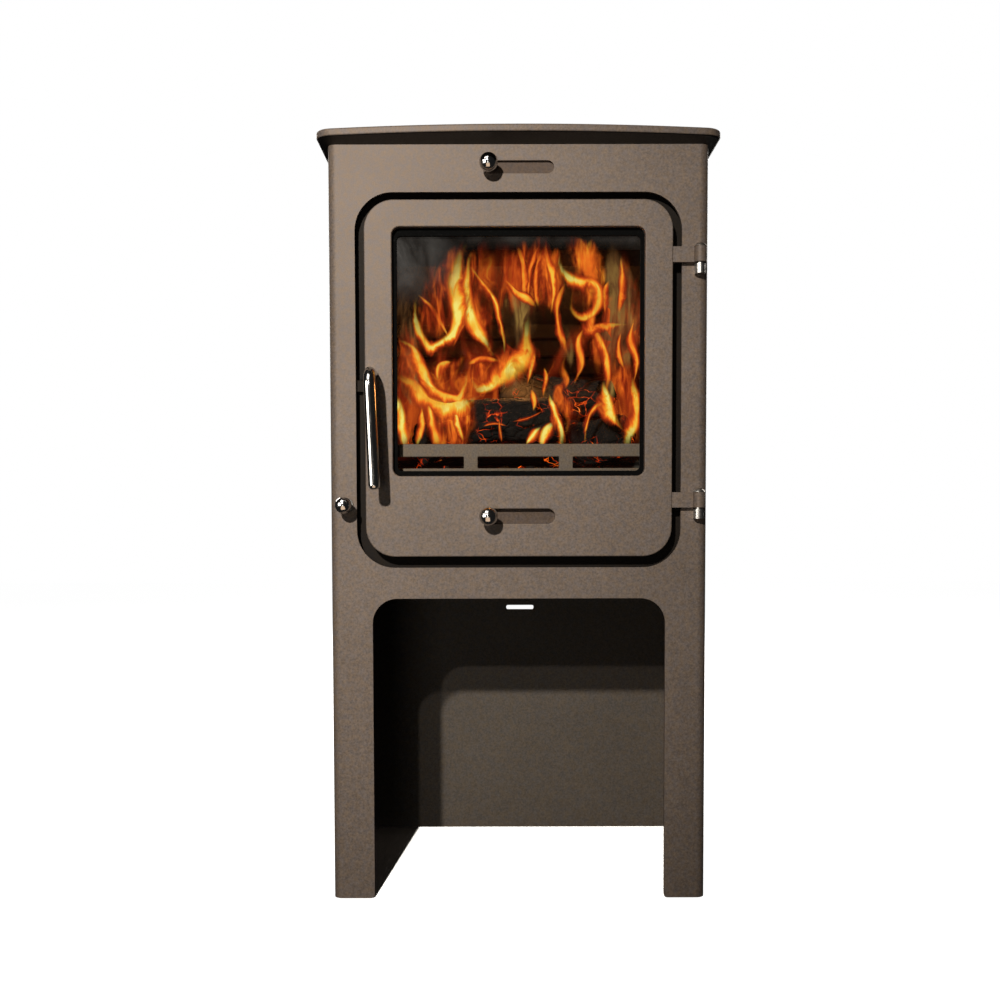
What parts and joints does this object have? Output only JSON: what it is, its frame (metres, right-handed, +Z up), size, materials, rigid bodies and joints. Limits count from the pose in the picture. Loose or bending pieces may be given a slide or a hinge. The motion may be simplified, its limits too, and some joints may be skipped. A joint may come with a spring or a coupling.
{
  "type": "wood burning stove",
  "caption": "Tall narrow steel wood burning stove with a glazed hinged door, two air sliders, a riddling grate and an open log store below.",
  "frame": {"origin": "centre of the whole stove in plan, at floor level under the legs", "axes": "+Z up, -Y towards whoever stands in front of the door, +X to their right"},
  "size_m": [0.418, 0.369, 0.848],
  "materials": {
    "stove_paint": "matt metallic brown-grey heat-proof paint, fine speckle",
    "bare_steel": "plain mill steel, heat-dulled",
    "black_fastener": "black oxide",
    "chrome": "polished dark chrome",
    "cast_grate": "rough cast",
    "firebrick": "vermiculite board, soot-darkened",
    "fibre_rope": "black glass-fibre rope and tape",
    "window_glass": "clear heat-proof ceramic glass"
  },
  "bodies": {
    "casing": {"front_panel": "stove_paint", "left_side_panel": "stove_paint", "right_side_panel": "stove_paint", "rear_panel": "stove_paint", "log_store_back": "stove_paint", "top_plate": "stove_paint", "log_store_roof": "stove_paint", "firebox_base": "stove_paint", "grate_support": "stove_paint", "firebox_front": "stove_paint", "airwash_duct": "stove_paint", "log_guard": "stove_paint", "rear_heat_shield": "stove_paint", "flue_collar": "stove_paint", "flue_flange": "stove_paint", "rear_blanking_plate": "stove_paint", "latch_keeper": "stove_paint", "upper_hinge_bracket": "bare_steel", "lower_hinge_bracket": "bare_steel", "hinge_pins": "bare_steel", "riddling_bush": "bare_steel", "blanking_clamp_bar": "bare_steel", "upper_slider_guides": "bare_steel", "heat_shield_spacers": "bare_steel", "flue_collar_bolts": "black_fastener", "blanking_bolt": "black_fastener", "heat_shield_screws": "black_fastener", "left_firebrick": "firebrick", "right_firebrick": "firebrick", "rear_firebrick": "firebrick", "baffle_plate": "firebrick"},
    "door": {"door_plate": "stove_paint", "door_seal_channel": "bare_steel", "door_rope_seal": "fibre_rope", "window_glass": "window_glass", "glass_seal_tape": "fibre_rope", "glass_clips": "bare_steel", "glass_clip_screws": "black_fastener", "glass_rail": "bare_steel", "upper_hinge_arm": "stove_paint", "lower_hinge_arm": "stove_paint", "lower_slider_guides": "bare_steel"},
    "handle": {"door_handle": "chrome", "handle_spindle": "bare_steel", "latch_cam": "bare_steel"},
    "upper_slider": {"upper_air_slider": "stove_paint", "upper_slider_knob": "chrome"},
    "lower_slider": {"lower_air_slider": "stove_paint", "lower_slider_knob": "chrome"},
    "riddler": {"riddling_rod": "bare_steel", "riddling_knob": "chrome"},
    "grate": {"riddling_grate": "cast_grate", "riddling_arm": "bare_steel"},
    "pan": {"ash_pan": "bare_steel", "ash_pan_handle": "bare_steel"}
  },
  "joints": [
    {"name": "door_hinge", "type": "hinge", "parent": "casing", "child": "door", "pos_m": [0.19, -0.142, 0.55], "axis": [0, 0, 1], "range_deg": [0, 110]},
    {"name": "handle_turn", "type": "hinge", "parent": "door", "child": "handle", "pos_m": [-0.1535, -0.1425, 0.56], "axis": [0, 1, 0], "range_deg": [-15, 85]},
    {"name": "upper_air_slide", "type": "slide", "parent": "casing", "child": "upper_slider", "axis": [1, 0, 0], "range_m": [0, 0.06]},
    {"name": "lower_air_slide", "type": "slide", "parent": "door", "child": "lower_slider", "axis": [1, 0, 0], "range_m": [0, 0.06]},
    {"name": "riddling_pull", "type": "slide", "parent": "casing", "child": "riddler", "axis": [0, -1, 0], "range_m": [0, 0.025]},
    {"name": "grate_turn", "type": "hinge", "parent": "casing", "child": "grate", "pos_m": [0, 0.0115, 0.44], "axis": [0, 0, 1], "range_deg": [0, 7.9]},
    {"name": "ash_pan_slide", "type": "slide", "parent": "casing", "child": "pan", "axis": [0, -1, 0], "range_m": [0, 0.008]}
  ],
  "couplings": [
    {"joint": "grate_turn", "follows": "riddling_pull", "rad_per_m": 5.4466}
  ]
}
